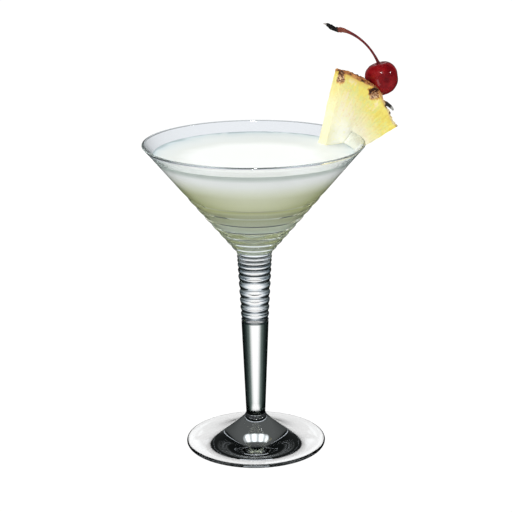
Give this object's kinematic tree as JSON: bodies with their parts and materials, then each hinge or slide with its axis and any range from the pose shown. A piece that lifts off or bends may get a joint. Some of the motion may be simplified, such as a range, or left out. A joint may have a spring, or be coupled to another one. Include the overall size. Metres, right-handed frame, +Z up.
{
  "type": "frozen pineapple daiquiri",
  "caption": "Frozen daiquiri in a stemmed cocktail glass with ribbed bowl base and stem, garnished with a slit pineapple wedge over the rim and a stemmed cherry.",
  "frame": {"origin": "centre of the foot's flat underside", "axes": "+Z up along the stem, +X to the right of the picture, -Y towards its camera"},
  "size_m": [0.1402, 0.1196, 0.2292],
  "materials": {
    "clear_glass": "clear polished soda-lime glass",
    "slush": null,
    "pineapple": null,
    "cherry_skin": null,
    "stem_skin": null
  },
  "bodies": {
    "root": {"glass": "clear_glass", "daiquiri": "slush", "pineapple_wedge": "pineapple", "cherry": "cherry_skin", "cherry_stem": "stem_skin"}
  },
  "joints": []
}
